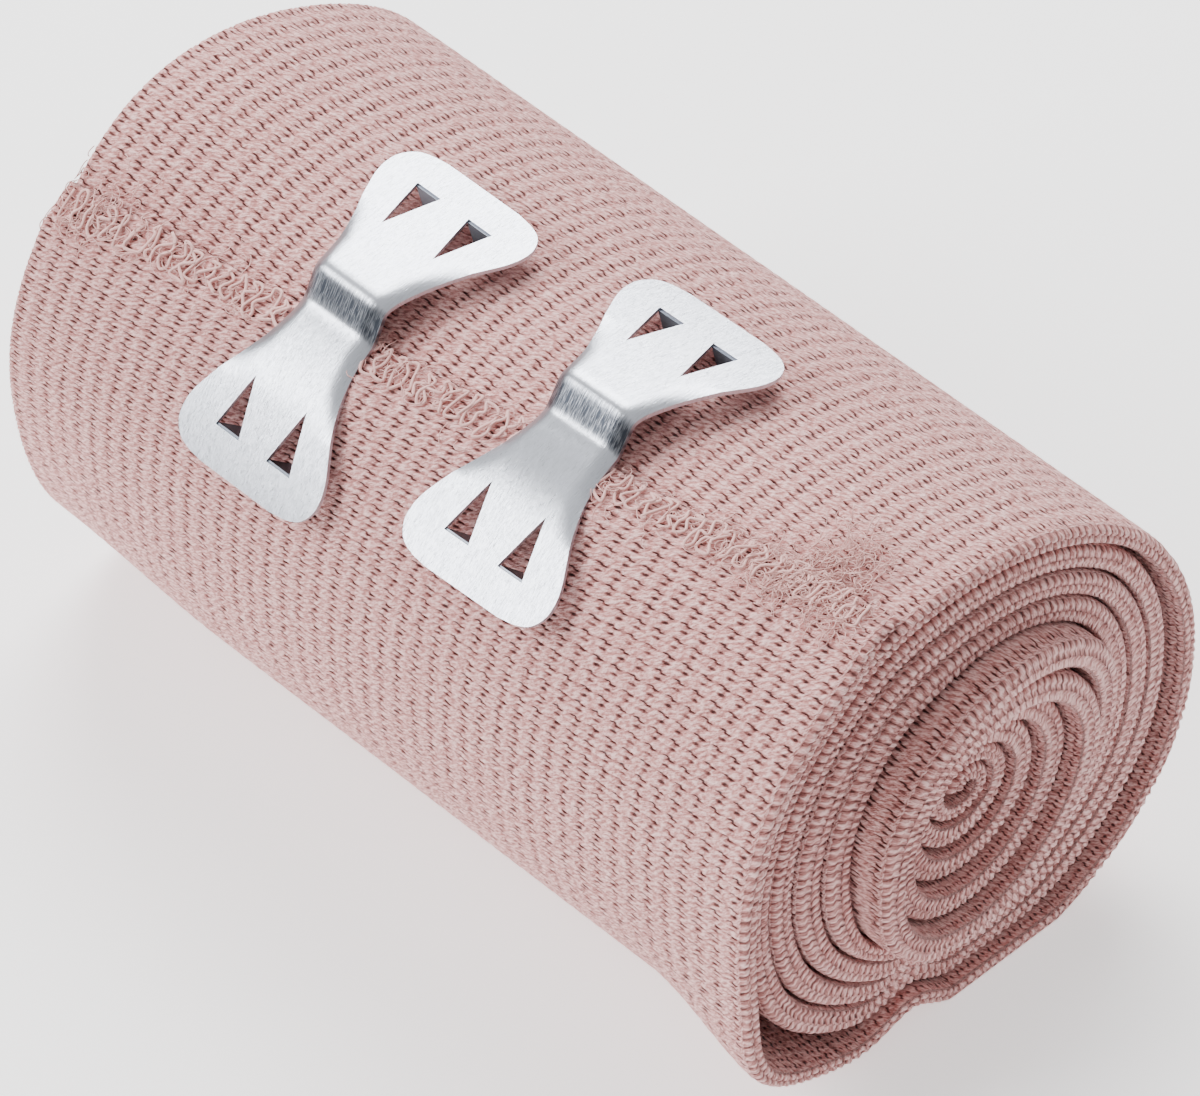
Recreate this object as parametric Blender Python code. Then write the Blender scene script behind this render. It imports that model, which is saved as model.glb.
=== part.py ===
"""Crepe bandage roll: one elastic crepe strip wound on itself, held by two stamped clips.

The roll lies along X with its neater end at -X and its opened end at +X.
The front of the roll, where the strip's loose end lies, faces -Y and +Z.
The strip is one solid: a spiral of a little over nine laps with a clear gap between each lap and the next.
Clock angles turn about the roll's axis: 0 at the back (+Y), 90 on top, 180 in front (-Y).
"""

import math

import bmesh
import bpy
import numpy as np
from mathutils import Matrix, Vector

MM = 0.001

# The strip: a 10 cm bandage.
STRIP_WIDTH = 100.0
CLOTH = 1.9
FLOOR = -26.7
CORE_SHIFT_Y = 0.3
STEP_DEG = 12.0
FIRST_CLOCK = 108.0
LAST_CLOCK = 3420.0

# Outer radius of each lap in mm. A row is one lap from outside to inside, and a column a clock
# angle: 120, 150, 180, 210, 240, 270, 300, 330, 360, 390, 420 and 450 degrees.
LAP_CLOCKS = (120, 150, 180, 210, 240, 270, 300, 330, 360, 390, 420, 450)
LAPS = (
    (31.4, 30.8, 29.6, 30.2, 29.2, 26.9, 29.6, 31.0, 29.9, 28.4, 27.4, 27.7),
    (29.1, 28.4, 27.3, 27.6, 26.0, 24.4, 26.6, 27.6, 26.6, 25.9, 25.1, 25.3),
    (26.6, 26.1, 25.0, 24.4, 22.9, 22.1, 23.8, 24.6, 23.9, 23.3, 22.6, 22.7),
    (24.2, 23.6, 22.4, 21.4, 20.4, 19.8, 20.9, 21.6, 21.0, 20.7, 20.2, 20.3),
    (21.6, 20.7, 19.4, 18.6, 17.8, 17.5, 18.2, 18.4, 17.9, 17.8, 17.7, 17.9),
    (18.4, 17.5, 16.6, 15.9, 15.4, 15.1, 15.5, 15.4, 15.0, 14.8, 14.6, 14.4),
    (14.3, 14.0, 13.6, 13.1, 12.8, 12.6, 12.6, 12.3, 12.0, 11.7, 11.4, 11.2),
    (11.1, 10.8, 10.5, 10.2, 10.0, 9.8, 9.6, 9.4, 9.1, 8.8, 8.4, 8.0),
    (7.6, 7.3, 7.0, 6.7, 6.4, 6.1, 5.7, 5.3, 5.0, 4.7, 4.5, 4.3),
    (4.1, 3.9, 3.6),
)

# The loose end lies askew: its clock angle at mid width and how far it turns per mm of width.
END_CLOCK = 119.8
END_SKEW = -0.242
SKEW_FADE_DEG = 84.0

# How far each lap's edge stands out of the opened end, in mm, from outermost to innermost.
LAP_EDGE = (0.0, -0.8, -0.3, 0.0, -0.4, 2.6, -0.5, -2.0, -4.0)

# The far end is slightly fuller and sits back and up from the opened end.
FAR_SCALE = 1.012
FAR_SHIFT_Y = 1.1
FAR_SHIFT_Z = 0.35

# The corner of the outer lap that droops under the opened end: clock, spread, reach, length.
FLAP_CLOCK = 216.0
FLAP_SPREAD = 15.0
FLAP_REACH = 2.6
FLAP_LENGTH = 16.0

STATIONS_X = (-50.0, -17.0, 17.0, 34.0, 42.0, 50.0)

# Clips: name, middle of the waist (x, y, z), slope of the waist's plane, turn in that plane, and
# how far the upper and the lower half dip from it, in mm and degrees.
CLIPS = (
    ("clip_far", -16.74, -16.02, 27.55, 26.0, -0.5, 24.7, 16.8),
    ("clip_near", 11.67, -11.77, 29.45, 18.0, 0.9, 26.2, 12.5),
)
CLIP_SHEET = 0.45
# Half outline of one clip half: half width, distance from the waist.
CLIP_OUTLINE = (
    (4.6, 0.0), (4.7, 3.0), (5.3, 6.0), (6.4, 9.0), (7.8, 12.0), (8.7, 14.0), (9.1, 15.6),
    (9.0, 17.2), (8.1, 18.6), (6.6, 19.3), (4.6, 19.6),
)
# Bend of the clip's sheet: distance from the waist, share of the upper half's dip, share of the
# lower half's dip, and a slope of its own in degrees.
CLIP_BENDS = (
    (-19.6, 1.0, 0.0, 3.0), (-12.0, 1.0, 0.0, 1.0), (-3.2, 1.0, 0.0, -2.0), (-2.2, 0.3, 0.0, 0.0),
    (-1.2, 0.0, 0.0, -22.0), (0.8, 0.0, 0.0, -24.0), (1.6, 0.0, -1.0, 2.0), (2.6, 0.0, -1.0, 9.0),
    (7.0, 0.0, -1.0, 5.0), (11.0, 0.0, -1.0, -8.0), (19.6, 0.0, -1.0, -12.0),
)
CLIP_RISE = 0.45
BEND_STEP = 1.4
# Piercing: half spacing, apex, base and half base; the tooth turned down at its base.
PIERCE_X = 3.4
PIERCE_APEX = 10.0
PIERCE_BASE = 15.5
PIERCE_HALF_BASE = 1.28
TOOTH_LENGTH = 0.9
TOOTH_LEAN = 0.3


def clear_scene():
    for obj in list(bpy.data.objects):
        bpy.data.objects.remove(obj)


def material(name, colour, roughness, metallic):
    made = bpy.data.materials.new(name)
    made.use_nodes = True
    shader = made.node_tree.nodes["Principled BSDF"]
    shader.inputs["Base Color"].default_value = (*colour, 1.0)
    shader.inputs["Roughness"].default_value = roughness
    shader.inputs["Metallic"].default_value = metallic
    return made


def smoothstep(value):
    value = min(max(value, 0.0), 1.0)
    return value * value * (3.0 - 2.0 * value)


def lap_radius(clock):
    """Outer radius of the strip at a clock angle counted on from the loose end."""
    knots = [LAP_CLOCKS[column] + 360.0 * row for row in range(len(LAPS)) for column in range(len(LAPS[row]))]
    radii = [radius for lap in LAPS for radius in lap]
    return float(np.interp(clock, knots, radii))


def lap_edge(clock):
    """How far the strip's edge stands out of the opened end."""
    lap = (clock - 120.0) / 360.0
    return float(np.interp(lap, [row + 0.35 for row in range(len(LAP_EDGE))], LAP_EDGE))


def outer_point(clock, x):
    """Point of the strip's outer face at a clock angle and a distance along the roll, in mm."""
    fade = 1.0 - smoothstep((clock - FIRST_CLOCK) / SKEW_FADE_DEG)
    clock = clock + (END_CLOCK - FIRST_CLOCK + END_SKEW * x) * fade
    radius = lap_radius(clock)
    if clock < 360.0:
        droop = math.exp(-(((clock - FLAP_CLOCK) / FLAP_SPREAD) ** 2))
        radius += FLAP_REACH * droop * smoothstep((x - 50.0 + FLAP_LENGTH) / FLAP_LENGTH)
    angle = math.radians(clock)
    far = (50.0 - x) / STRIP_WIDTH
    scale = 1.0 + (FAR_SCALE - 1.0) * far
    y = CORE_SHIFT_Y + radius * scale * math.cos(angle) + FAR_SHIFT_Y * far
    z = radius * scale * math.sin(angle) + FAR_SHIFT_Z * far
    if clock < 480.0:
        z = max(z, FLOOR)
    else:
        z = max(z, FLOOR + CLOTH + 0.35)
    return Vector((x, y, z))


def strip():
    """The wound strip: a closed section with an outer face, an inner face and two edges."""
    count = int(round((LAST_CLOCK - FIRST_CLOCK) / STEP_DEG))
    clocks = [FIRST_CLOCK + STEP_DEG * index for index in range(count + 1)]
    mesh = bmesh.new()
    outer = []
    inner = []
    for clock in clocks:
        edge = lap_edge(clock)
        outer_row = []
        inner_row = []
        for x in STATIONS_X:
            stand = edge * smoothstep((x - 34.0) / FLAP_LENGTH)
            point = outer_point(clock, x)
            along = outer_point(clock + 2.0, x) - outer_point(clock - 2.0, x)
            inward = Vector((0.0, -along.z, along.y)).normalized()
            point.x += stand
            outer_row.append(mesh.verts.new(point * MM))
            inner_row.append(mesh.verts.new((point + inward * CLOTH) * MM))
        outer.append(outer_row)
        inner.append(inner_row)
    last = len(STATIONS_X) - 1
    for index in range(count):
        for column in range(last):
            mesh.faces.new((outer[index][column], outer[index][column + 1],
                            outer[index + 1][column + 1], outer[index + 1][column]))
            mesh.faces.new((inner[index][column], inner[index + 1][column],
                            inner[index + 1][column + 1], inner[index][column + 1]))
        for column in (0, last):
            mesh.faces.new((outer[index][column], outer[index + 1][column],
                            inner[index + 1][column], inner[index][column]))
    for index in (0, count):
        for column in range(last):
            mesh.faces.new((outer[index][column], outer[index][column + 1],
                            inner[index][column + 1], inner[index][column]))
    bmesh.ops.recalc_face_normals(mesh, faces=mesh.faces)
    return finish_mesh(mesh, "bandage", material("crepe", (0.60, 0.40, 0.36), 0.95, 0.0))


def clip_outline():
    """Closed outline of the flat clip, as (across, along) pairs in mm."""
    right = [(half, -along) for half, along in reversed(CLIP_OUTLINE)] + list(CLIP_OUTLINE[1:])
    left = [(-half, -along) for half, along in right]
    return right + left


def clip_profile(upper_dip, lower_dip):
    """Where each distance along the clip's sheet lies: along the waist's plane and above it."""
    steps = np.arange(-20.4, 20.41, 0.1)
    places = [row[0] for row in CLIP_BENDS]
    bends = [row[1] * upper_dip + row[2] * lower_dip + row[3] for row in CLIP_BENDS]
    slopes = np.radians(np.interp(steps, places, bends))
    along = np.cumsum(np.cos(slopes)) * 0.1
    rise = np.cumsum(np.sin(slopes)) * 0.1
    along -= np.interp(0.0, steps, along)
    rise -= np.interp(0.0, steps, rise) - CLIP_RISE
    return steps, along, rise


def clip_sheet():
    """The flat sheet with its four piercings, cut across where it bends, with a tooth at each."""
    mesh = bmesh.new()
    loops = [clip_outline()]
    for side in (-PIERCE_X, PIERCE_X):
        for end in (-1.0, 1.0):
            loops.append([(side, end * PIERCE_APEX), (side - PIERCE_HALF_BASE, end * PIERCE_BASE),
                          (side + PIERCE_HALF_BASE, end * PIERCE_BASE)])
    for loop in loops:
        verts = [mesh.verts.new((across, along, 0.0)) for across, along in loop]
        for index, vert in enumerate(verts):
            mesh.edges.new((vert, verts[(index + 1) % len(verts)]))
    bmesh.ops.triangle_fill(mesh, use_beauty=True, use_dissolve=False, edges=mesh.edges, normal=(0, 0, 1))
    for line in np.arange(-18.2, 18.3, BEND_STEP):
        whole = list(mesh.verts) + list(mesh.edges) + list(mesh.faces)
        bmesh.ops.bisect_plane(mesh, geom=whole, dist=1e-5, plane_co=(0, float(line), 0), plane_no=(0, 1, 0))
    mesh.normal_update()
    for face in mesh.faces:
        if face.normal.z < 0.0:
            face.normal_flip()
    return mesh


def clip_teeth(mesh, steps, along, rise):
    """Bends the flat sheet along its profile, then hangs a short tooth from each piercing's base."""
    bases = [[vert for vert in mesh.verts
              if abs(vert.co.y - end * PIERCE_BASE) < 1e-4 and abs(abs(vert.co.x - side) - PIERCE_HALF_BASE) < 1e-4]
             for side in (-PIERCE_X, PIERCE_X) for end in (-1.0, 1.0)]
    for vert in mesh.verts:
        place = vert.co.y
        vert.co.y = float(np.interp(place, steps, along))
        vert.co.z = float(np.interp(place, steps, rise))
    for pair in bases:
        middle = (pair[0].co + pair[1].co) / 2.0
        inward = -math.copysign(TOOTH_LEAN, middle.y)
        tip = mesh.verts.new(middle + Vector((0.0, inward, -TOOTH_LENGTH)))
        mesh.faces.new((pair[0], pair[1], tip))
    bmesh.ops.recalc_face_normals(mesh, faces=mesh.faces)
    if sum(face.normal.z * face.calc_area() for face in mesh.faces) < 0.0:
        bmesh.ops.reverse_faces(mesh, faces=mesh.faces)


def clip(name, x, y, z, slope, turn, upper_dip, lower_dip):
    """One stamped clip laid over the loose end, its plate following the roll."""
    mesh = clip_sheet()
    clip_teeth(mesh, *clip_profile(upper_dip, lower_dip))
    laid = Matrix.Rotation(math.radians(180.0 + slope), 3, "X") @ Matrix.Rotation(math.radians(180.0), 3, "Y")
    laid = laid @ Matrix.Rotation(math.radians(turn), 3, "Z")
    for vert in mesh.verts:
        vert.co = (Vector((x, y, z)) + laid @ vert.co) * MM
    made = finish_mesh(mesh, name, material(name + "_aluminium", (0.72, 0.73, 0.75), 0.35, 1.0))
    sheet = made.modifiers.new("sheet", "SOLIDIFY")
    sheet.thickness = CLIP_SHEET * MM
    sheet.offset = 0.0
    return made


def finish_mesh(mesh, name, look):
    data = bpy.data.meshes.new(name)
    mesh.to_mesh(data)
    mesh.free()
    obj = bpy.data.objects.new(name, data)
    obj.data.materials.append(look)
    bpy.context.scene.collection.objects.link(obj)
    data.shade_smooth()
    data.set_sharp_from_angle(angle=math.radians(30.0))
    return obj


def centre_on_base(objects):
    """Puts the origin at the middle of the whole part's base."""
    bpy.context.view_layer.update()
    graph = bpy.context.evaluated_depsgraph_get()
    points = []
    for obj in objects:
        shown = obj.evaluated_get(graph)
        points += [vert.co.copy() for vert in shown.to_mesh().vertices]
        shown.to_mesh_clear()
    low = [min(point[axis] for point in points) for axis in range(3)]
    high = [max(point[axis] for point in points) for axis in range(3)]
    shift = Matrix.Translation((-(low[0] + high[0]) / 2.0, -(low[1] + high[1]) / 2.0, -low[2]))
    for obj in objects:
        obj.data.transform(shift)


def main():
    clear_scene()
    made = [strip()] + [clip(*row) for row in CLIPS]
    centre_on_base(made)


main()
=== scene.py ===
import math

import bmesh
import bpy
import numpy as np
from mathutils import Matrix, Vector


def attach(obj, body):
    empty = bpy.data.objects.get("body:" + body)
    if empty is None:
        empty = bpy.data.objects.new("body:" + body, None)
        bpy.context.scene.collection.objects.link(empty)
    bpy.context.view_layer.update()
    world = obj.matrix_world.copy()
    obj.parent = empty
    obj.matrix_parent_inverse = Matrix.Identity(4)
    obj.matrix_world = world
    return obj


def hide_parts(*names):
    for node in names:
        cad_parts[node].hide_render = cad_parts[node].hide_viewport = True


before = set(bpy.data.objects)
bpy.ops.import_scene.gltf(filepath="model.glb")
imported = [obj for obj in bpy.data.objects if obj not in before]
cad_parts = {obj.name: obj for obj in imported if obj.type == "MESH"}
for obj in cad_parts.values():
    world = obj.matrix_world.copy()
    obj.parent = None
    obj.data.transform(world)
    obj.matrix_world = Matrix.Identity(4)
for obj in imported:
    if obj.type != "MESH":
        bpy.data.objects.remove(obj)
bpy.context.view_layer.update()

MM = 0.001

# ---------------------------------------------------------------- the strip's form, in mm
# The axes run through the roll's middle; BASE_MIDDLE is where the part's origin lies in them.
BASE_MIDDLE = (1.275, 0.865, -26.7)
HALF_WIDTH = 50.0
FAR_EDGE = -49.1
CLOTH = 1.9
MOST_CLOTH = 3.0
FLOOR = -26.7
# The laps above the lowest one lie on it, so none of them reaches the floor.
FLOOR_GAP = 0.35
CORE_SHIFT_Y = 0.3
# Clock angles run from the back (0) over the top (90) to the front (180), and on round each lap.
LAP = 360.0
FIRST_CLOCK = 108.0
LAST_CLOCK = 3780.0
# Outer radius of each lap. A row is one lap from outside to inside, and a column a clock angle:
# 120, 150, 180, 210, 240, 270, 300, 330, 360, 390, 420 and 450 degrees.
LAPS = (
    (31.4, 30.8, 29.6, 30.2, 29.2, 26.9, 29.6, 31.0, 29.9, 28.4, 27.4, 27.7),
    (29.1, 28.4, 27.3, 27.6, 26.0, 24.4, 26.6, 27.6, 26.6, 25.9, 25.1, 25.3),
    (26.6, 26.1, 25.0, 24.4, 22.9, 22.1, 23.8, 24.6, 23.9, 23.3, 22.6, 22.7),
    (24.2, 23.6, 22.4, 21.4, 20.4, 19.8, 20.9, 21.6, 21.0, 20.7, 20.2, 20.3),
    (21.6, 20.7, 19.4, 18.6, 17.8, 17.5, 18.2, 18.4, 17.9, 17.8, 17.7, 17.9),
    (18.0, 17.6, 16.2, 16.2, 16.2, 16.0, 15.6, 15.2, 14.8, 14.2, 13.8, 13.6),
    (13.6, 13.5, 13.2, 12.9, 12.7, 12.6, 12.4, 12.1, 11.7, 11.0, 10.4, 10.1),
    (10.0, 9.9, 9.8, 9.8, 9.7, 9.5, 9.2, 8.8, 8.4, 7.9, 7.4, 7.1),
    (7.0, 6.9, 6.8, 6.8, 6.7, 6.5, 6.2, 5.8, 5.4, 4.9, 4.5, 4.4),
    (4.4, 4.6, 4.6, 4.3, 3.9, 3.6, 3.5, 3.4, 3.1, 2.7, 2.4, 2.2),
    (2.1, 2.1, 2.0),
)
RADIUS_CLOCK = 120.0
RADIUS_STEP = 30.0
# The loose end lies askew: its clock angle at the middle of the strip, degrees a mm across it,
# and the degrees over which the strip comes straight again.
END_CLOCK = 119.8
END_SKEW = -0.242
SKEW_FADE_DEG = 84.0
# How far each lap's edge stands out of the opened end at the upper front and at the lower back
# of the roll (clock 135 and 315), from outermost to innermost: the core leans and is sunk.
EDGE_CLOCK = 135.0
LAP_EDGE = (
    (0.0, 0.0), (-0.8, -1.0), (-0.6, -0.8), (0.2, -0.6), (0.9, 0.4), (5.0, 2.2), (3.2, 0.8),
    (0.6, -0.2), (-0.6, -0.8), (-1.0, -1.0), (-1.0, -1.0),
)
EDGE_REACH = 16.0
# The loose end's last few mm of strip are pressed thinner and sink into the lap below. Its edge
# draws back from the opened end, and its corner there drops by some mm of radius a degree.
END_TAPER = 5.0
END_SINK = 1.25
END_BACK = 1.3
END_BACK_DEG = 16.0
END_DROP = 0.047
# The roll is a little thicker at the opened end, and its far end sits towards the back.
FAR_SCALE = 0.997
NEAR_SCALE = 1.009
FAR_SHIFT_Y = 0.7
# The far end is fuller at the upper front and flatter at the front: clock, spread, and mm of
# radius at a radius of RADII_OUTER.
RADII_OUTER = 30.0
FAR_SWELLS = ((103.0, 28.0, 2.8), (200.0, 25.0, -1.2))
FAR_LENGTH = 26.0
# The outer laps droop as a flap under the opened end.
FLAP_CLOCK = 216.0
FLAP_SPREAD = 15.0
FLAP_REACH = 2.6
FLAP_LENGTH = 16.0
# Where the laps are pressed in beside the flap, and by how much from the outermost lap inwards.
PINCH_CLOCK = 253.0
PINCH_SPREAD = 9.0
PINCH_LENGTH = 14.0
PINCH = (3.3, 2.6, 1.8, 1.2, 0.7, 0.2, 0.0, 0.0, 0.0, 0.0, 0.0)

# Rounding of the strip's edge at its outer and its inner face, and the depth of the row between.
EDGE_ROUND = 0.9
INNER_ROUND = 0.35
EDGE_MIDDLE = 1.25
# The inner laps swell to this share of the room between them, from one clock angle to another.
SWELL_SHARE = 0.9
SWELL_FROM = 474.0
SWELL_TO = 3330.0

# ---------------------------------------------------------------- the crepe weave, in mm
# A cell is one plump yarn and one thin thread; THREAD_SHARE is the thin thread's part of it.
CELL_ACROSS = 2.2
CELL_ALONG = 1.4
INNER_CELL_ACROSS = 1.1
THREAD_SHARE = 0.43
LEAN = 0.3
SLIT_ACROSS = 0.98
LOOP_PITCH = 1.05
LOOP_ROW = 0.95
LOOP_LEAN = 0.2
RELIEF = 0.42
RELIEF_ZERO = 0.9
FIBRE_TURN = 0.5
# Two slow waves shift the rows: reach in mm, and radians a mm across and along the strip.
WANDER = ((0.12, 0.21, 0.05), (0.08, 0.09, -0.17))
# On the UV map the inner face starts here, past the outer face and its edge.
INNER_START = 60.0
UV_MM = 100.0


def smoothstep(value):
    """0 to 1 with a soft start and end."""
    value = np.clip(value, 0.0, 1.0)
    return value * value * (3.0 - 2.0 * value)


def catmull(knots, place):
    """Smooth curve through evenly spaced knots."""
    knots = np.asarray(knots, float)
    last = len(knots) - 1
    place = np.clip(place, 0.0, last - 0.001)
    index = np.floor(place).astype(int)
    f = place - index
    a = knots[np.clip(index - 1, 0, last)]
    b = knots[index]
    c = knots[np.clip(index + 1, 0, last)]
    d = knots[np.clip(index + 2, 0, last)]
    return b + 0.5 * f * (c - a + f * (2 * a - 5 * b + 4 * c - d + f * (3 * (b - c) + d - a)))


def hump(clock, middle, spread):
    """1 at a clock angle of every lap, falling off over spread degrees."""
    off = np.mod(clock - middle + LAP / 2.0, LAP) - LAP / 2.0
    return np.exp(-((off / spread) ** 2))


def near_end(x, edge, length):
    """1 at an edge of the strip, falling to 0 at a length into the roll."""
    return smoothstep(1.0 - np.abs(edge - x) / length)


RADII = [radius for lap in LAPS for radius in lap]


def outer_face(clock, x):
    """Point of the strip's outer face, as (y, z)."""
    fade = 1.0 - smoothstep((clock - FIRST_CLOCK) / SKEW_FADE_DEG)
    turned = clock + (END_CLOCK - FIRST_CLOCK + END_SKEW * x) * fade
    radius = catmull(RADII, (turned - RADIUS_CLOCK) / RADIUS_STEP)
    radius = radius - END_DROP * np.maximum(RADIUS_CLOCK - turned, 0.0)
    droop = np.exp(-(((turned - FLAP_CLOCK) / FLAP_SPREAD) ** 2))
    radius = radius + FLAP_REACH * droop * near_end(x, HALF_WIDTH, FLAP_LENGTH)
    pinch = np.interp(turned, RADIUS_CLOCK + LAP * np.arange(len(PINCH)), PINCH)
    pinch = pinch * hump(turned, PINCH_CLOCK, PINCH_SPREAD)
    radius = radius - pinch * near_end(x, HALF_WIDTH, PINCH_LENGTH)
    for middle, spread, reach in FAR_SWELLS:
        fuller = reach * hump(turned, middle, spread) * (radius / RADII_OUTER) ** 2
        radius = radius + fuller * near_end(x, FAR_EDGE, FAR_LENGTH)
    angle = np.radians(turned)
    far = (HALF_WIDTH - x) / (2.0 * HALF_WIDTH)
    scale = NEAR_SCALE + (FAR_SCALE - NEAR_SCALE) * far
    y = CORE_SHIFT_Y + radius * scale * np.cos(angle) + FAR_SHIFT_Y * far
    z = radius * scale * np.sin(angle)
    floor = np.where(clock < RADIUS_CLOCK + LAP, FLOOR, FLOOR + CLOTH + FLOOR_GAP)
    return y, np.maximum(z, floor)


def swell(clock):
    """Thickness of the cloth as a share of CLOTH: the inner laps fill the room between them."""
    place = (clock - RADIUS_CLOCK) / RADIUS_STEP
    room = catmull(RADII, place) - catmull(RADII, place + LAP / RADIUS_STEP)
    full = np.clip(SWELL_SHARE * room, CLOTH, MOST_CLOTH) / CLOTH
    begun = smoothstep((clock - SWELL_FROM) / 30.0)
    ended = smoothstep((SWELL_TO - clock) / 60.0)
    return 1.0 + (full - 1.0) * begun * ended


def length_at(clocks):
    """Length along the strip from its loose end, in mm."""
    fine = np.arange(FIRST_CLOCK, LAST_CLOCK + 1.0, 0.5)
    y, z = outer_face(fine, np.zeros_like(fine))
    run = np.concatenate([[0.0], np.cumsum(np.hypot(np.diff(y), np.diff(z)))])
    return np.interp(clocks, fine, run)


def clocks_between(first, last, step):
    """Clock angles from first to last, an even step in mm of strip apart."""
    fine = np.arange(first, last + 0.01, 0.5)
    run = length_at(fine)
    count = max(2, int(round((run[-1] - run[0]) / step)) + 1)
    return np.interp(np.linspace(run[0], run[-1], count), run, fine)


def weave(across, along, cell):
    """Height of the crepe weave: a plump leaning yarn and a thin thread a cell, with slits between."""
    row = np.mod(along / CELL_ALONG, 1.0)
    place = np.mod(across / cell + LEAN * (row - 0.5), 1.0)
    sides = 1.0 - np.abs(2.0 * place - 1.0) ** 4
    plump = np.clip((row - THREAD_SHARE) / (1.0 - THREAD_SHARE), 0.0, 1.0)
    thread = np.clip(row / THREAD_SHARE, 0.0, 1.0)
    yarn = np.maximum(1.0 - (2.0 * plump - 1.0) ** 2, 0.8 - 0.8 * (2.0 * thread - 1.0) ** 2)
    across_slit = ((np.mod(place + 0.5 - SLIT_ACROSS, 1.0) - 0.5) / 0.19) ** 2
    at_seam = ((np.mod(row + 0.5, 1.0) - 0.5) / 0.13) ** 2
    at_thread = ((row - THREAD_SHARE) / 0.12) ** 2
    slit = np.maximum(0.0, 1.0 - across_slit - at_seam)
    slit = slit + 0.7 * np.maximum(0.0, 1.0 - across_slit - at_thread)
    return 0.6 + 0.4 * yarn * (0.65 + 0.35 * sides) - 0.5 * slit


def edge_loops(depth, along):
    """Height of the looped selvedge: two rows of loops, half a loop apart."""
    row = np.where(depth < LOOP_ROW, 0.0, 0.5)
    place = along / LOOP_PITCH + row + LOOP_LEAN * depth
    loop = np.abs(np.cos(np.pi * place)) ** 0.6
    belly = 1.0 - 0.7 * (2.0 * np.mod(depth / LOOP_ROW, 1.0) - 1.0) ** 2
    return loop * belly


def section(x_outer, x_inner):
    """Path round the strip's section: place across, depth, outward direction and edge share."""
    rows = [(x, 0.0, 0.0, -1.0, 0.0) for x in x_outer]
    for step in range(1, 6):
        turn = math.radians(18.0 * step)
        rows.append((HALF_WIDTH - EDGE_ROUND * (1.0 - math.sin(turn)), EDGE_ROUND * (1.0 - math.cos(turn)),
                     math.sin(turn), -math.cos(turn), min(1.0, step / 3.0)))
    rows.append((HALF_WIDTH, EDGE_MIDDLE, 1.0, 0.0, 1.0))
    for step in range(3):
        turn = math.radians(45.0 * step)
        rows.append((HALF_WIDTH - INNER_ROUND * (1.0 - math.cos(turn)),
                     CLOTH - INNER_ROUND * (1.0 - math.sin(turn)),
                     math.cos(turn), math.sin(turn), 1.0 - 0.4 * step))
    rows += [(x, CLOTH, 0.0, 1.0, 0.0) for x in x_inner]
    return np.array(rows)


def closed_mesh(name, points, faces):
    """A linked object from points and faces, its normals turned outwards."""
    mesh = bpy.data.meshes.new(name)
    mesh.from_pydata(points, [], faces)
    work = bmesh.new()
    work.from_mesh(mesh)
    bmesh.ops.recalc_face_normals(work, faces=work.faces)
    work.to_mesh(mesh)
    work.free()
    obj = bpy.data.objects.new(name, mesh)
    bpy.context.scene.collection.objects.link(obj)
    return obj


def finish_modifiers(obj):
    """Turns an object's modifiers into its own plain mesh."""
    graph = bpy.context.evaluated_depsgraph_get()
    made = bpy.data.meshes.new_from_object(obj.evaluated_get(graph))
    obj.modifiers.clear()
    obj.data = made


def strip_piece(name, clocks, x_outer, x_inner):
    """A stretch of the strip as one closed mesh, with its weave and looped edge raised."""
    path = section(x_outer, x_inner)
    path_x, path_depth, out_x, out_depth, edge = path.T[:, None, :]
    inner = path_depth >= CLOTH
    clock = clocks[:, None]
    x = path_x + 0.0 * clock
    run = length_at(clocks)[:, None] + 0.0 * x
    y, z = outer_face(clock, x)
    y1, z1 = outer_face(clock - 0.4, x)
    y2, z2 = outer_face(clock + 0.4, x)
    size = np.hypot(y2 - y1, z2 - z1)
    inward_y = -(z2 - z1) / size
    inward_z = (y2 - y1) / size
    thinned = 1.0 - smoothstep(run[:, :1] / END_TAPER)
    depth = path_depth * (1.0 - 0.5 * thinned) * swell(clock) + END_SINK * thinned
    wander = sum(reach * np.sin(a * x + b * run) for reach, a, b in WANDER)
    cell = np.where(inner, INNER_CELL_ACROSS, CELL_ACROSS)
    height = (1.0 - edge) * weave(x, run + wander, cell) + edge * edge_loops(depth, run)
    near_floor = np.clip((z - FLOOR) / 0.5, 0.0, 1.0)
    height = RELIEF * (height - RELIEF_ZERO) * near_floor
    stand = catmull([value for pair in LAP_EDGE for value in pair], (clock - EDGE_CLOCK) / (LAP / 2.0))
    stand = stand - END_BACK * (1.0 - smoothstep((clock - FIRST_CLOCK) / END_BACK_DEG))
    stand = stand * near_end(x, HALF_WIDTH, EDGE_REACH)
    place = (x + stand + out_x * height,
             y + inward_y * (depth + out_depth * height),
             np.maximum(z + inward_z * (depth + out_depth * height), FLOOR))
    points = (np.stack(place, axis=-1) - BASE_MIDDLE) * MM
    index = np.arange(x.size).reshape(x.shape)
    following = np.roll(index, -1, axis=1)
    quads = np.stack([index[:-1], index[1:], following[1:], following[:-1]], axis=-1).reshape(-1, 4)
    faces = quads[:, ::-1].tolist() + [index[0].tolist()[::-1], index[-1].tolist()]
    obj = closed_mesh(name, points.reshape(-1, 3).tolist(), faces)
    mesh = obj.data
    across = np.where(edge > 0, HALF_WIDTH + path_depth, x)
    across = np.where(inner & (edge < 0.3), INNER_START + 2.0 * HALF_WIDTH - x, across)
    uv = np.stack([across, run], axis=-1).reshape(-1, 2) / UV_MM
    corners = np.empty(len(mesh.loops), np.int32)
    mesh.loops.foreach_get("vertex_index", corners)
    mesh.uv_layers.new(name="cloth").data.foreach_set("uv", uv[corners].ravel())
    mesh.shade_smooth()
    obj["strip_mm"] = float(run[-1, 0] - run[0, 0])
    return obj


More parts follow.
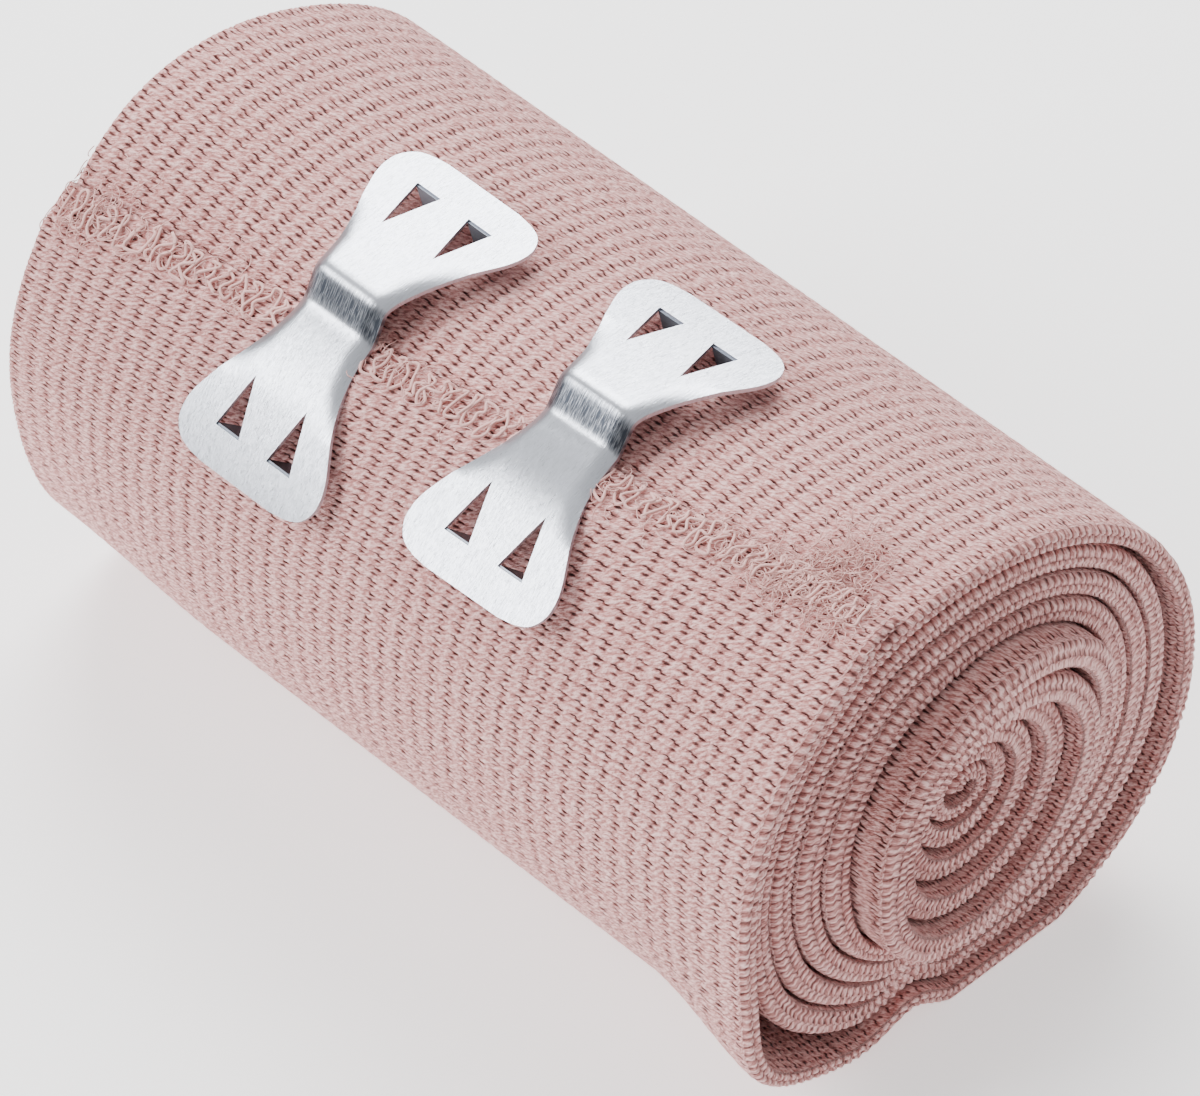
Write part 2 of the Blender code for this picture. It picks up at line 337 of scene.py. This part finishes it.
# ---------------------------------------------------------------- overlock threads and lint, in mm
# The stitches are drawn a little coarser than real ones, so that they show.
STITCH_PITCH = 1.75
END_RADIUS = 31.0
# One overlock stitch on the face: share of the pitch, distance from the cut end, height.
STITCH = (
    (0.0, 0.3, 0.2), (0.2, 1.5, 0.3), (0.1, 2.7, 0.26), (0.4, 3.3, 0.1), (0.75, 3.0, 0.2), (0.55, 1.9, 0.34),
    (0.9, 1.0, 0.3), (0.7, 0.4, 0.2),
)
STITCH_JITTER = (0.33, 0.55, 0.1)
STITCH_MARGIN = 2.0
THREAD_RADIUS = 0.17
FIBRE_RADIUS = 0.055
# Where loose fibres gather: place across, distance from the cut end, spread of both, and how many.
LINT = (
    (0.0, 1.8, 27.0, 1.2, 420),
    (-45.2, 1.5, 2.2, 2.4, 110),
    (37.5, 1.5, 3.0, 1.8, 260),
    (40.5, -3.0, 2.0, 2.0, 200),
    (45.0, 3.0, 1.6, 1.4, 80),
)
LINT_POINTS = 7
# A row of lint spread wider than this is spread evenly, and the others gather about their middle.
WIDE_LINT = 20.0
EDGE_ROOM = 0.4


def above_cloth(x, from_end, height):
    """Points over the outer face: place across, mm of strip from the cut end, height."""
    clock = FIRST_CLOCK + np.degrees(np.maximum(from_end, 0.0) / END_RADIUS)
    y, z = outer_face(clock, x)
    y1, z1 = outer_face(clock + 0.5, x)
    size = np.hypot(y1 - y, z1 - z)
    out_y = (z1 - z) / size
    out_z = -(y1 - y) / size
    past = np.minimum(from_end, 0.0)
    height = height - END_SINK * (1.0 - smoothstep(np.maximum(from_end, 0.0) / END_TAPER))
    height = height - 0.9 * np.minimum(-past, 1.0)
    y = y + past * (y1 - y) / size + out_y * height
    z = z + past * (z1 - z) / size + out_z * height
    return np.stack([x, y, z], axis=-1) - np.array(BASE_MIDDLE)


def round_thread_nodes(look):
    """Nodes that lay a round thread along every path of edges: its radius and number of sides are inputs."""
    tree = bpy.data.node_groups.new("round_thread", "GeometryNodeTree")
    tree.interface.new_socket("Paths", in_out="INPUT", socket_type="NodeSocketGeometry")
    radius = tree.interface.new_socket("Radius", in_out="INPUT", socket_type="NodeSocketFloat")
    sides = tree.interface.new_socket("Sides", in_out="INPUT", socket_type="NodeSocketInt")
    tree.interface.new_socket("Thread", in_out="OUTPUT", socket_type="NodeSocketGeometry")
    given = tree.nodes.new("NodeGroupInput")
    paths = add(tree, "GeometryNodeMeshToCurve", {"Mesh": given.outputs["Paths"]})
    ring = add(tree, "GeometryNodeCurvePrimitiveCircle",
               {"Resolution": given.outputs["Sides"], "Radius": given.outputs["Radius"]})
    thread = add(tree, "GeometryNodeCurveToMesh", {"Curve": paths, "Profile Curve": ring, "Fill Caps": True})
    thread = add(tree, "GeometryNodeSetShadeSmooth", {"Geometry": thread})
    thread = add(tree, "GeometryNodeRealizeInstances", {"Geometry": thread})
    thread = add(tree, "GeometryNodeSetMaterial", {"Geometry": thread, "Material": look})
    made = tree.nodes.new("NodeGroupOutput")
    tree.links.new(thread, made.inputs["Thread"])
    return tree, radius.identifier, sides.identifier


def threads(name, paths, radius, sides, look):
    """Thin round threads along the given paths in mm, as one mesh."""
    starts = np.cumsum([0] + [len(path) for path in paths[:-1]])
    runs = [(int(start) + row, int(start) + row + 1)
            for start, path in zip(starts, paths) for row in range(len(path) - 1)]
    mesh = bpy.data.meshes.new(name)
    mesh.from_pydata((np.concatenate(paths) * MM).tolist(), runs, [])
    obj = bpy.data.objects.new(name, mesh)
    bpy.context.scene.collection.objects.link(obj)
    tree, radius_input, sides_input = round_thread_nodes(look)
    laid = obj.modifiers.new("round_thread", "NODES")
    laid.node_group = tree
    laid[radius_input] = radius * MM
    laid[sides_input] = sides
    finish_modifiers(obj)
    return obj


def overlock_path(chance):
    """The looping thread that binds the cut end, from one edge to the other."""
    rows = []
    for stitch in range(int(2.0 * (HALF_WIDTH - STITCH_MARGIN - 0.5) / STITCH_PITCH)):
        for share, from_end, height in STITCH:
            slip = chance.normal(0.0, 1.0, 3) * STITCH_JITTER
            rows.append((-HALF_WIDTH + STITCH_MARGIN + (stitch + share) * STITCH_PITCH + slip[0],
                         from_end + 0.6 * slip[1], height + abs(slip[2])))
    rows = np.array(rows)
    steps = np.arange(0.0, len(rows) - 1.0, 0.3)
    smooth = np.stack([catmull(rows[:, column], steps) for column in range(3)], axis=-1)
    return above_cloth(smooth[:, 0], smooth[:, 1], smooth[:, 2])


def lint_paths(chance):
    """Short curled fibres standing a little off the cloth."""
    paths = []
    for across, from_end, spread_across, spread_end, count in LINT:
        for _ in range(count):
            wide = chance.uniform(-1.7, 1.7) if spread_across > WIDE_LINT else chance.normal()
            start = np.clip(across + spread_across * wide, FAR_EDGE + 0.3, HALF_WIDTH - 0.7)
            start_end = from_end + spread_end * chance.normal()
            heading = chance.uniform(0.0, 2.0 * math.pi)
            curl = chance.normal(0.0, 0.5)
            step = chance.uniform(0.2, 0.45)
            turn = heading + curl * np.arange(LINT_POINTS)
            xs = np.clip(start + np.cumsum(np.cos(turn)) * step, FAR_EDGE + 0.2, HALF_WIDTH - EDGE_ROOM)
            ends = start_end + np.cumsum(np.sin(turn)) * step
            lift = 0.12 + chance.uniform(0.1, 0.55) * np.sin(np.linspace(0.1, 3.0, LINT_POINTS))
            paths.append(above_cloth(xs, ends, lift))
    return paths


# ---------------------------------------------------------------- looks
# Colour of the crepe by height, with painted light: the holes between the yarns are painted red-brown and
# dark as shade, and the crowns of the loops are painted pale as highlight.
CREPE_TONES_WITH_PAINTED_LIGHT = ((0.0, "4C2523"), (0.3, "8E5955"), (0.65, "C98B86"), (1.0, "F9CCC8"))
YARN_TONE = "DDB0AA"
BARE_METAL = "CDD1DA"
# The dark metal tone serves both the random brush streaks and the dark reflection painted across the step at
# the waist.
DARK_BRUSH_AND_PAINTED_REFLECTION = "4A4F58"


def linear(hexes):
    """Linear colour from an sRGB hex code."""
    values = [int(hexes[i:i + 2], 16) / 255.0 for i in (0, 2, 4)]
    return (*[v / 12.92 if v <= 0.04045 else ((v + 0.055) / 1.055) ** 2.4 for v in values], 1.0)


def add(tree, kind, links=None, **settings):
    """Adds a node: links are sockets or values by input name or number, settings its own values."""
    node = tree.nodes.new(kind)
    for key, value in settings.items():
        setattr(node, key, value)
    for key, value in (links or {}).items():
        if isinstance(value, bpy.types.NodeSocket):
            tree.links.new(value, node.inputs[key])
        else:
            node.inputs[key].default_value = value
    return node.outputs[0]


def maths(tree, operation, first, second=0.0, third=0.0):
    """Adds one sum."""
    return add(tree, "ShaderNodeMath", {0: first, 1: second, 2: third}, operation=operation)


def new_material(name):
    """A material with its tree and its shader."""
    made = bpy.data.materials.new(name)
    made.use_nodes = True
    return made, made.node_tree, made.node_tree.nodes["Principled BSDF"]


def fall(tree, place, power):
    """1 in the middle of a cell, falling to 0 at its sides; a higher power is a flatter middle."""
    off = maths(tree, "ABSOLUTE", maths(tree, "MULTIPLY_ADD", place, 2.0, -1.0))
    return maths(tree, "SUBTRACT", 1.0, maths(tree, "POWER", off, power))


def apart(tree, place, middle, reach):
    """Squared distance from a line in the cell, as a share of its reach."""
    off = maths(tree, "FRACT", maths(tree, "ADD", place, 0.5 - middle))
    off = maths(tree, "DIVIDE", maths(tree, "SUBTRACT", off, 0.5), reach)
    return maths(tree, "MULTIPLY", off, off)


def crepe_material():
    """Pinkish cotton and elastic crepe: matt yarn, painted red-brown shade in the holes, painted highlight on
    the crowns, fine fibres.
    """
    made, tree, shader = new_material("crepe")
    place = add(tree, "ShaderNodeUVMap", uv_map="cloth")
    split = tree.nodes.new("ShaderNodeSeparateXYZ")
    tree.links.new(place, split.inputs[0])
    in_mm = add(tree, "ShaderNodeVectorMath", {0: place, 1: (UV_MM, UV_MM, 1.0)}, operation="MULTIPLY")
    across = maths(tree, "MULTIPLY", split.outputs[0], UV_MM)
    along = maths(tree, "MULTIPLY", split.outputs[1], UV_MM)
    wandered = along
    for reach, by_across, by_along in WANDER:
        wave = maths(tree, "MULTIPLY_ADD", across, by_across, maths(tree, "MULTIPLY", along, by_along))
        wandered = maths(tree, "MULTIPLY_ADD", maths(tree, "SINE", wave), reach, wandered)
    row = maths(tree, "FRACT", maths(tree, "DIVIDE", wandered, CELL_ALONG))
    lean = maths(tree, "MULTIPLY_ADD", row, LEAN, -0.5 * LEAN)
    inside = maths(tree, "GREATER_THAN", across, INNER_START)
    cells = add(tree, "ShaderNodeMix", {0: inside, 2: 1.0 / CELL_ACROSS, 3: 1.0 / INNER_CELL_ACROSS},
                data_type="FLOAT")
    place = maths(tree, "FRACT", maths(tree, "ADD", maths(tree, "MULTIPLY", across, cells), lean))
    sides = fall(tree, place, 4.0)
    patchy = add(tree, "ShaderNodeTexNoise", {"Vector": in_mm, "Scale": 0.5, "Detail": 1.0})
    across_slit = apart(tree, place, SLIT_ACROSS, 0.24)
    at_seam = apart(tree, row, 0.0, 0.14)
    at_thread = apart(tree, row, THREAD_SHARE, 0.12)
    open_across = maths(tree, "SUBTRACT", 1.0, across_slit)
    slit = maths(tree, "MAXIMUM", maths(tree, "SUBTRACT", open_across, at_seam), 0.0)
    beside = maths(tree, "MAXIMUM", maths(tree, "SUBTRACT", open_across, at_thread), 0.0)
    slit = maths(tree, "MULTIPLY_ADD", beside, 0.75, slit)
    slit = maths(tree, "MULTIPLY", slit, maths(tree, "MULTIPLY_ADD", patchy, 1.1, 0.45))
    seam = maths(tree, "MAXIMUM", maths(tree, "SUBTRACT", 1.0, at_seam), 0.0)
    seam = maths(tree, "MAXIMUM", seam, maths(tree, "SUBTRACT", 0.6, at_thread))
    height = maths(tree, "MULTIPLY_ADD", sides, 0.12, 0.66)
    height = maths(tree, "MULTIPLY_ADD", seam, -0.13, height)
    height = maths(tree, "MULTIPLY_ADD", slit, -0.85, height)
    # The looped edge: the grooves between the loops and between their two rows are painted dark as shade
    # through the ramp below.
    below = maths(tree, "SUBTRACT", across, HALF_WIDTH)
    loop = maths(tree, "MULTIPLY_ADD", maths(tree, "GREATER_THAN", below, LOOP_ROW), 0.5 * LOOP_PITCH, along)
    loop = maths(tree, "MULTIPLY_ADD", below, LOOP_LEAN * LOOP_PITCH, loop)
    loop = maths(tree, "ABSOLUTE", maths(tree, "COSINE", maths(tree, "MULTIPLY", loop, math.pi / LOOP_PITCH)))
    between = apart(tree, maths(tree, "DIVIDE", below, LOOP_ROW), 0.5, 0.5)
    loop = maths(tree, "MULTIPLY_ADD", maths(tree, "POWER", loop, 0.7), 0.66, 0.26)
    loop = maths(tree, "MULTIPLY_ADD", between, -0.27, loop)
    at_edge = maths(tree, "SUBTRACT", maths(tree, "GREATER_THAN", across, HALF_WIDTH - 0.4), inside)
    height = add(tree, "ShaderNodeMix", {0: at_edge, 2: height, 3: loop}, data_type="FLOAT")
    turned = add(tree, "ShaderNodeVectorRotate", {"Vector": in_mm, "Angle": FIBRE_TURN},
                 rotation_type="Z_AXIS")
    drawn = add(tree, "ShaderNodeVectorMath", {0: turned, 1: (1.3, 3.6, 1.0)}, operation="MULTIPLY")
    fibres = add(tree, "ShaderNodeTexNoise", {"Vector": drawn, "Scale": 1.0, "Detail": 2.0, "Roughness": 0.7})
    height = maths(tree, "MULTIPLY_ADD", maths(tree, "SUBTRACT", fibres, 0.5), 1.8, height)
    # Painted light: the ramp turns height into colour, so the slits, seams and holes get painted shade and
    # the crowns get painted highlight. The same height also drives the bump.
    tone = tree.nodes.new("ShaderNodeValToRGB")
    tree.links.new(height, tone.inputs[0])
    ramp = tone.color_ramp
    while len(ramp.elements) < len(CREPE_TONES_WITH_PAINTED_LIGHT):
        ramp.elements.new(0.5)
    for element, (where, colour) in zip(ramp.elements, CREPE_TONES_WITH_PAINTED_LIGHT):
        element.position = where
        element.color = linear(colour)
    tree.links.new(tone.outputs[0], shader.inputs["Base Color"])
    bump = add(tree, "ShaderNodeBump", {"Height": height, "Strength": 0.75, "Distance": 0.0003})
    tree.links.new(bump, shader.inputs["Normal"])
    shader.inputs["Roughness"].default_value = 0.92
    shader.inputs["Specular IOR Level"].default_value = 0.2
    shader.inputs["Sheen Weight"].default_value = 0.15
    shader.inputs["Sheen Roughness"].default_value = 0.5
    return made


def yarn_material():
    """Loose cotton yarn of the cloth's own pink, a little paler than the weave."""
    made, tree, shader = new_material("cotton_yarn")
    shader.inputs["Base Color"].default_value = linear(YARN_TONE)
    shader.inputs["Roughness"].default_value = 0.95
    shader.inputs["Specular IOR Level"].default_value = 0.15
    return made


def aluminium_material():
    """Rolled aluminium sheet: bright, finely brushed along the clip, with a few soft scratches and a dark
    reflection painted across the step at the waist.
    """
    made, tree, shader = new_material("clip_aluminium")
    place = add(tree, "ShaderNodeUVMap", uv_map="cloth")
    split = tree.nodes.new("ShaderNodeSeparateXYZ")
    tree.links.new(place, split.inputs[0])
    lines = add(tree, "ShaderNodeVectorMath", {0: place, 1: (900.0, 60.0, 1.0)}, operation="MULTIPLY")
    brush = add(tree, "ShaderNodeTexNoise", {"Vector": lines, "Scale": 1.0, "Detail": 2.0, "Roughness": 0.7})
    rough = maths(tree, "MULTIPLY_ADD", brush, 0.22, 0.2)
    tree.links.new(rough, shader.inputs["Roughness"])
    bump = add(tree, "ShaderNodeBump", {"Height": brush, "Strength": 0.4, "Distance": 0.0001})
    tree.links.new(bump, shader.inputs["Normal"])
    # Painted reflection: a dark band, broken by the brush streaks, is painted across the steep step at the
    # waist.
    drawn = maths(tree, "MULTIPLY_ADD", split.outputs[1], UV_MM / PAINTED_REFLECTION_HALF, -PAINTED_REFLECTION_MIDDLE / PAINTED_REFLECTION_HALF)
    drawn = maths(tree, "SUBTRACT", 1.0, maths(tree, "POWER", maths(tree, "ABSOLUTE", drawn), 3.0))
    streaks = maths(tree, "MULTIPLY_ADD", brush, 2.2, -0.2)
    drawn = maths(tree, "MULTIPLY", maths(tree, "MAXIMUM", drawn, 0.0), maths(tree, "MAXIMUM", streaks, 0.0))
    brush_and_painted_reflection = maths(tree, "MULTIPLY_ADD", maths(tree, "SUBTRACT", brush, 0.5), 0.9, drawn)
    tone = add(tree, "ShaderNodeMix", {"Factor": brush_and_painted_reflection}, data_type="RGBA")
    tone.node.inputs[6].default_value = linear(BARE_METAL)
    tone.node.inputs[7].default_value = linear(DARK_BRUSH_AND_PAINTED_REFLECTION)
    tree.links.new(tone.node.outputs[2], shader.inputs["Base Color"])
    shader.inputs["Metallic"].default_value = 1.0
    return made


# ---------------------------------------------------------------- clips
# Name, place (x, y, z) of the waist, slope, turn, and dip of the upper and the lower half in degrees.
CLIPS = (
    ("clip_far", -15.85, -16.02, 27.2, 26.0, -0.5, 24.7, 16.8),
    ("clip_near", 11.8, -11.77, 29.35, 18.0, 0.9, 26.2, 12.5),
)
CLIP_SHEET = 0.45
# The drawn step at the waist, where a dark reflection is painted into the sheet's colour: its middle and half
# length.
PAINTED_REFLECTION_MIDDLE = -0.6
PAINTED_REFLECTION_HALF = 1.9
# Half outline of one clip half: half width, distance from the waist.
CLIP_OUTLINE = (
    (4.6, 0.0), (4.7, 3.0), (5.3, 6.0), (6.4, 9.0), (7.8, 12.0), (8.7, 14.0), (9.1, 15.6),
    (9.0, 17.2), (8.1, 18.6), (6.6, 19.3), (4.6, 19.6),
)
# Bend of the sheet: distance from the waist, share of the upper half's dip, share of the lower
# half's dip, and a slope of its own in degrees.
CLIP_BENDS = (
    (-19.6, 1.0, 0.0, 3.0), (-12.0, 1.0, 0.0, 1.0), (-3.4, 1.0, 0.0, -1.0), (-2.6, 0.3, 0.0, 2.0),
    (-1.9, 0.0, 0.0, -36.0), (0.9, 0.0, 0.0, -38.0), (1.6, 0.0, -1.0, 6.0), (2.6, 0.0, -1.0, 11.0),
    (7.0, 0.0, -1.0, 5.0), (11.0, 0.0, -1.0, -8.0), (19.6, 0.0, -1.0, -12.0),
)
CLIP_RISE = 0.45
PIERCE_X = 3.4
PIERCE_APEX = 9.7
PIERCE_BASE = 15.8
PIERCE_HALF_BASE = 1.55
TOOTH_LENGTH = 1.7
TOOTH_LEAN = 0.5
TOOTH_SHEET = 0.3
CLIP_HALF = 19.6
# The sheet's long edges are rolled down by this much beside the waist, over this distance from it.
FLANGE = 1.0
FLANGE_START = 0.62
FLANGE_REACH = 11.0
SHARP_DEG = 38.0


PROFILE_STEP = 0.1
PROFILE_HALF = 20.4
PROFILE_SOFT = 3


def clip_profile(upper_dip, lower_dip):
    """The bent sheet seen from its side: distance from the waist, place along and height."""
    steps = np.arange(-PROFILE_HALF, PROFILE_HALF + 0.01, PROFILE_STEP)
    places = [row[0] for row in CLIP_BENDS]
    bends = [row[1] * upper_dip + row[2] * lower_dip + row[3] for row in CLIP_BENDS]
    slopes = np.radians(np.interp(steps, places, bends))
    window = 2 * PROFILE_SOFT + 1
    slopes = np.convolve(np.pad(slopes, PROFILE_SOFT, "edge"), np.ones(window) / window, "valid")
    along = np.cumsum(np.cos(slopes)) * PROFILE_STEP
    rise = np.cumsum(np.sin(slopes)) * PROFILE_STEP
    along -= np.interp(0.0, steps, along)
    rise -= np.interp(0.0, steps, rise) - CLIP_RISE
    return steps, along, rise


WEDGE_FACES = ((0, 1, 2), (3, 4, 5), (0, 1, 4, 3), (1, 2, 5, 4), (2, 0, 3, 5))


def flat_blank(name):
    """The flat clip blank as a closed sheet of even quads, pierced by its four triangles."""
    curve = np.linspace(0.0, len(CLIP_OUTLINE) - 1.01, 200)
    half = catmull([row[0] for row in CLIP_OUTLINE], curve)
    along = catmull([row[1] for row in CLIP_OUTLINE], curve)
    tail = np.linspace(14.9, CLIP_HALF, 22)
    stations = np.concatenate([-tail[::-1], np.arange(-14.6, 14.7, 0.3), tail])
    shares = np.linspace(-1.0, 1.0, 29)
    across = np.interp(np.abs(stations), along, half)[:, None] * shares
    flat = np.stack([across, stations[:, None] + 0.0 * across, 0.0 * across], axis=-1)
    rows, columns = across.shape
    lift = (0.0, 0.0, CLIP_SHEET / 2.0)
    points = np.concatenate([(flat + lift).reshape(-1, 3), (flat - lift).reshape(-1, 3)])
    index = np.arange(rows * columns).reshape(rows, columns)
    upper = np.stack([index[:-1, :-1], index[:-1, 1:], index[1:, 1:], index[1:, :-1]], axis=-1).reshape(-1, 4)
    rim = np.concatenate([index[0, :-1], index[:-1, -1], index[-1, :0:-1], index[:0:-1, 0]])
    sides = np.stack([rim, np.roll(rim, -1), np.roll(rim, -1) + index.size, rim + index.size], axis=-1)
    faces = upper.tolist() + (upper[:, ::-1] + index.size).tolist() + sides[:, ::-1].tolist()
    blank = closed_mesh(name, points.tolist(), faces)
    for side in (-PIERCE_X, PIERCE_X):
        for end in (-1.0, 1.0):
            corners = ((side, end * PIERCE_APEX), (side - PIERCE_HALF_BASE, end * PIERCE_BASE),
                       (side + PIERCE_HALF_BASE, end * PIERCE_BASE))
            wedge = [(u, v, h) for h in (-1.0, 1.0) for u, v in corners]
            cutter = closed_mesh("piercing", wedge, WEDGE_FACES)
            cut = blank.modifiers.new("piercing", "BOOLEAN")
            cut.operation = "DIFFERENCE"
            cut.object = cutter
            finish_modifiers(blank)
            bpy.data.objects.remove(cutter)
    return blank


def clip(name, x, y, z, slope, turn, upper_dip, lower_dip, look):
    """One stamped clip: a pierced sheet bent over the roll, its waist's edges rolled down."""
    blank = flat_blank(name + "_sheet")
    work = bmesh.new()
    work.from_mesh(blank.data)
    layer = work.loops.layers.uv.new("cloth")
    for face in work.faces:
        for corner in face.loops:
            corner[layer].uv = corner.vert.co.xy / UV_MM
    steps, along, rise = clip_profile(upper_dip, lower_dip)
    slopes = np.arctan2(np.gradient(rise), np.gradient(along))
    half_at = ([row[1] for row in CLIP_OUTLINE[:7]], [row[0] for row in CLIP_OUTLINE[:7]])

    def bent(across, place, height):
        share = abs(across) / float(np.interp(abs(place), *half_at))
        rolled = max(0.0, (share - FLANGE_START) / (1.0 - FLANGE_START)) ** 2
        rolled *= FLANGE * max(0.0, 1.0 - (place / FLANGE_REACH) ** 2)
        tilt = float(np.interp(place, steps, slopes))
        return Vector((across, float(np.interp(place, steps, along)) - height * math.sin(tilt),
                       float(np.interp(place, steps, rise)) + height * math.cos(tilt) - rolled))

    for vert in work.verts:
        vert.co = bent(*vert.co)
    for side in (-PIERCE_X, PIERCE_X):
        for end in (-1.0, 1.0):
            base = end * (PIERCE_BASE + 0.1)
            tab = []
            for place in (base, base - end * TOOTH_SHEET):
                tab += [bent(side - PIERCE_HALF_BASE, place, 0.0), bent(side + PIERCE_HALF_BASE, place, 0.0),
                        bent(side, place - end * TOOTH_LEAN, -TOOTH_LENGTH)]
            verts = [work.verts.new(point) for point in tab]
            for corners in WEDGE_FACES:
                work.faces.new([verts[corner] for corner in corners])
    bmesh.ops.recalc_face_normals(work, faces=work.faces)
    laid = Matrix.Rotation(math.radians(180.0 + slope), 3, "X") @ Matrix.Rotation(math.radians(180.0), 3, "Y")
    laid = laid @ Matrix.Rotation(math.radians(turn), 3, "Z")
    middle = Vector((x, y, z)) - Vector(BASE_MIDDLE)
    for vert in work.verts:
        vert.co = (middle + laid @ vert.co) * MM
    work.to_mesh(blank.data)
    work.free()
    blank.data.shade_smooth()
    blank.data.set_sharp_from_angle(angle=math.radians(SHARP_DEG))
    blank.data.materials.clear()
    blank.data.materials.append(look)
    return blank


# ---------------------------------------------------------------- build
cloth = crepe_material()
yarn = yarn_material()
metal = aluminium_material()

# Places across the strip: fine where the weave shows, and a few where it is hidden.
FINE_STEP = 0.36
ACROSS_SHOWN = list(np.arange(FAR_EDGE, HALF_WIDTH - 1.0, FINE_STEP))
ACROSS_RIM = [FAR_EDGE, -20.0, 20.0] + list(np.arange(HALF_WIDTH - 6.5, HALF_WIDTH - 1.0, FINE_STEP))
ACROSS_INNER_FACE = list(np.arange(HALF_WIDTH - 0.6, HALF_WIDTH - 8.0, -0.45)) + [20.0, -20.0, FAR_EDGE + 0.4]
ACROSS_HIDDEN = [HALF_WIDTH - 0.6, 20.0, -20.0, FAR_EDGE + 0.4]
# The strip is built in stretches: the clock angles where each ends, with a hair's gap between.
STRETCH_GAP = 0.05
LOOSE_TO = 236.0
UNDER_TO = 385.0
OUTER_TO = 494.0
INNER_TO = (1100.0, 1900.0, LAST_CLOCK)

shown = clocks_between(FIRST_CLOCK, LOOSE_TO, 0.25)
under = clocks_between(LOOSE_TO + STRETCH_GAP, UNDER_TO, 0.56)
over = clocks_between(UNDER_TO, OUTER_TO, 0.3)
loose_end = strip_piece("loose_end", shown, ACROSS_SHOWN, ACROSS_HIDDEN)
outer_lap = strip_piece("outer_lap", np.concatenate([under[:-1], over]), ACROSS_SHOWN, ACROSS_INNER_FACE)
strips = [loose_end, outer_lap]
for number, (first, last) in enumerate(zip((OUTER_TO, *INNER_TO), INNER_TO), 1):
    clocks = clocks_between(first + STRETCH_GAP, last, 0.32)
    strips.append(strip_piece("inner_laps_%d" % number, clocks, ACROSS_RIM, ACROSS_INNER_FACE))
for piece in strips:
    piece.data.materials.append(cloth)
    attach(piece, "root")
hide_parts("bandage")

chance = np.random.default_rng(7)
for piece in (threads("overlock_thread", [overlock_path(chance)], THREAD_RADIUS, 5, yarn),
              threads("lint", lint_paths(chance), FIBRE_RADIUS, 3, yarn)):
    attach(piece, "root")

for row in CLIPS:
    piece = clip(*row, metal)
    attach(piece, "root")
    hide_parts(row[0])

# ---------------------------------------------------------------- floor, light and camera
FLOOR_HALF = 0.4
# Name, place, side and power of each square light; both aim at the roll's middle.
LIGHTS = (
    ("softbox_back", (-0.55, 0.55, 0.85), 0.8, 22.5),
    ("softbox_front", (-0.6, -0.75, 0.65), 0.7, 16.3),
)
AIM = (0.0, 0.0, 0.02)

floor_mesh = bpy.data.meshes.new("floor")
corners = ((-1, -1), (1, -1), (1, 1), (-1, 1))
floor_mesh.from_pydata([(FLOOR_HALF * x, FLOOR_HALF * y, 0.0) for x, y in corners], [], [(0, 1, 2, 3)])
floor = bpy.data.objects.new("floor", floor_mesh)
bpy.context.scene.collection.objects.link(floor)
floor_look, _, floor_shader = new_material("floor_paint")
floor_shader.inputs["Base Color"].default_value = (0.93, 0.93, 0.93, 1.0)
floor_shader.inputs["Emission Color"].default_value = (1.0, 1.0, 1.0, 1.0)
floor_shader.inputs["Emission Strength"].default_value = 0.75
floor_shader.inputs["Roughness"].default_value = 0.8
floor_mesh.materials.append(floor_look)

for name, place, side, power in LIGHTS:
    data = bpy.data.lights.new(name, "AREA")
    data.size = side
    data.energy = power
    lamp = bpy.data.objects.new(name, data)
    lamp.location = place
    lamp.rotation_euler = (Vector(place) - Vector(AIM)).to_track_quat("Z", "Y").to_euler()
    bpy.context.scene.collection.objects.link(lamp)

# The studio is dark at the horizon and bright overhead.
world = bpy.data.worlds.new("studio")
world.use_nodes = True
sky = world.node_tree
around = add(sky, "ShaderNodeTexCoord")
rise = sky.nodes.new("ShaderNodeSeparateXYZ")
sky.links.new(around.node.outputs["Generated"], rise.inputs[0])
bright = add(sky, "ShaderNodeMapRange", {"Value": rise.outputs["Z"], "From Min": 0.0, "From Max": 0.55,
                                         "To Min": 0.06, "To Max": 0.77})
sky.links.new(bright, sky.nodes["Background"].inputs["Strength"])
sky.nodes["Background"].inputs["Color"].default_value = (1.0, 1.0, 1.0, 1.0)
bpy.context.scene.world = world

# The camera looks at the strip's middle from above the front and the opened end.
VIEW_TURN = math.radians(45.37)
VIEW_RISE = math.radians(45.06)
VIEW_AWAY = 0.992
camera_data = bpy.data.cameras.new("camera")
camera_data.lens = 318.1
camera_data.sensor_width = 36.0
camera_data.shift_x = 0.0106
camera_data.shift_y = -0.0247
camera = bpy.data.objects.new("camera", camera_data)
back = Vector((math.sin(VIEW_TURN) * math.cos(VIEW_RISE), -math.cos(VIEW_TURN) * math.cos(VIEW_RISE),
               math.sin(VIEW_RISE)))
camera.location = back * VIEW_AWAY - Vector(BASE_MIDDLE) * MM
camera.rotation_euler = (math.pi / 2 - VIEW_RISE, 0.0, VIEW_TURN)
bpy.context.scene.collection.objects.link(camera)
bpy.context.scene.camera = camera
